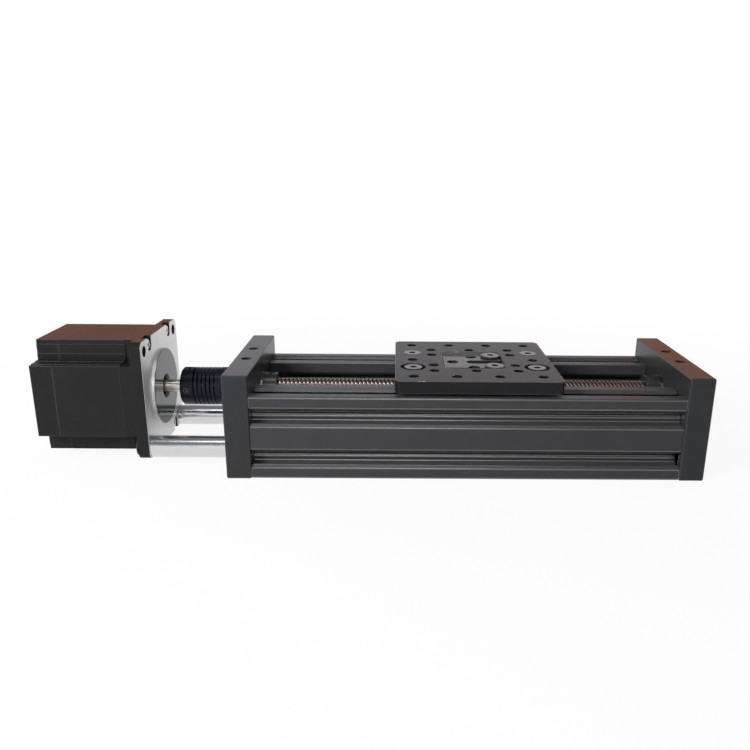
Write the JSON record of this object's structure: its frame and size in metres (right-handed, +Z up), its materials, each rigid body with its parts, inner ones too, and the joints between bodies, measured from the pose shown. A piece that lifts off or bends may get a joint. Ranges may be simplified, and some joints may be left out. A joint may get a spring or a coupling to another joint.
{
  "type": "lead screw linear slide",
  "caption": "Motor-driven linear slide: a C-shaped slotted beam between end plates, with a lead screw that moves a wheeled carriage plate along the channel.",
  "frame": {"origin": "middle of the beam's underside, which is the face the slide stands on", "axes": "+X along the beam from the motor to the far end, +Y across it, +Z up out of the channel"},
  "size_m": [0.3159, 0.081, 0.0617],
  "materials": {
    "black_anodised": "satin black anodised",
    "coupling_black": "gloss black anodised",
    "motor_bell": "black paint, front face bare",
    "motor_paint": "black paint on laminations",
    "polished_aluminium": "polished",
    "bright_steel": "bright",
    "spacer_aluminium": "turned",
    "ground_steel": "rolled and ground",
    "bearing_steel": "polished, with shields",
    "black_oxide": "black oxide",
    "nut_plastic": "machined black",
    "wheel_plastic": "moulded black",
    "grommet_rubber": "matt black"
  },
  "bodies": {
    "base": {"c_beam": "black_anodised", "motor_end_plate": "black_anodised", "far_end_plate": "black_anodised", "motor_plate_screws": "bright_steel", "far_plate_screws": "bright_steel", "motor_end_bearing_outer": "bearing_steel", "far_end_bearing_outer": "bearing_steel", "near_spacer": "polished_aluminium", "far_spacer": "polished_aluminium", "motor_mount_screws": "black_oxide", "motor_front_bell": "motor_bell", "motor_stator": "motor_paint", "motor_rear_bell": "motor_bell", "motor_case_screws": "bright_steel", "motor_front_bearing_outer": "bearing_steel", "motor_rear_bearing_outer": "bearing_steel", "wire_grommet": "grommet_rubber"},
    "drive": {"lead_screw": "ground_steel", "coupling": "coupling_black", "coupling_screws": "bright_steel", "motor_shaft": "ground_steel", "motor_rotor": "ground_steel", "motor_end_collar": "black_oxide", "far_end_collar": "black_oxide", "collar_set_screws": "black_oxide", "motor_end_bearing_inner": "bearing_steel", "far_end_bearing_inner": "bearing_steel", "motor_front_bearing_inner": "bearing_steel", "motor_rear_bearing_inner": "bearing_steel", "motor_end_shim": "ground_steel", "far_end_shim": "ground_steel"},
    "carriage": {"gantry_plate": "black_anodised", "nut_block": "nut_plastic", "nut_block_screws": "bright_steel", "nut_block_washers": "black_oxide", "block_fixing_screws": "bright_steel", "axle_screws": "bright_steel", "eccentric_spacers": "bright_steel", "plain_spacers": "spacer_aluminium", "axle_shims": "bright_steel", "axle_nuts": "bright_steel", "wheel_bearing_inners": "bearing_steel"},
    "near_left_roller": {"near_left_wheel": "wheel_plastic", "near_left_bearings": "bearing_steel"},
    "near_right_roller": {"near_right_wheel": "wheel_plastic", "near_right_bearings": "bearing_steel"},
    "far_left_roller": {"far_left_wheel": "wheel_plastic", "far_left_bearings": "bearing_steel"},
    "far_right_roller": {"far_right_wheel": "wheel_plastic", "far_right_bearings": "bearing_steel"}
  },
  "joints": [
    {"name": "lead_screw_turn", "type": "hinge", "parent": "base", "child": "drive", "pos_m": [0, 0, 0.033], "axis": [1, 0, 0], "range_deg": [-2391.75, 2873.25]},
    {"name": "carriage_slide", "type": "slide", "parent": "base", "child": "carriage", "axis": [1, 0, 0], "range_m": [-0.06395, 0.05325]},
    {"name": "near_left_roll", "type": "hinge", "parent": "carriage", "child": "near_left_roller", "pos_m": [-0.02465, -0.01392, 0.03], "axis": [0, 0, 1], "continuous": true},
    {"name": "near_right_roll", "type": "hinge", "parent": "carriage", "child": "near_right_roller", "pos_m": [0.03535, -0.01392, 0.03], "axis": [0, 0, 1], "continuous": true},
    {"name": "far_left_roll", "type": "hinge", "parent": "carriage", "child": "far_left_roller", "pos_m": [-0.02465, 0.01392, 0.03], "axis": [0, 0, 1], "continuous": true},
    {"name": "far_right_roll", "type": "hinge", "parent": "carriage", "child": "far_right_roller", "pos_m": [0.03535, 0.01392, 0.03], "axis": [0, 0, 1], "continuous": true}
  ],
  "couplings": [
    {"joint": "carriage_slide", "follows": "lead_screw_turn", "m_per_rad": -0.0012732},
    {"joint": "near_left_roll", "follows": "lead_screw_turn", "ratio": 0.1906},
    {"joint": "near_right_roll", "follows": "lead_screw_turn", "ratio": 0.1906},
    {"joint": "far_left_roll", "follows": "lead_screw_turn", "ratio": -0.1906},
    {"joint": "far_right_roll", "follows": "lead_screw_turn", "ratio": -0.1906}
  ]
}
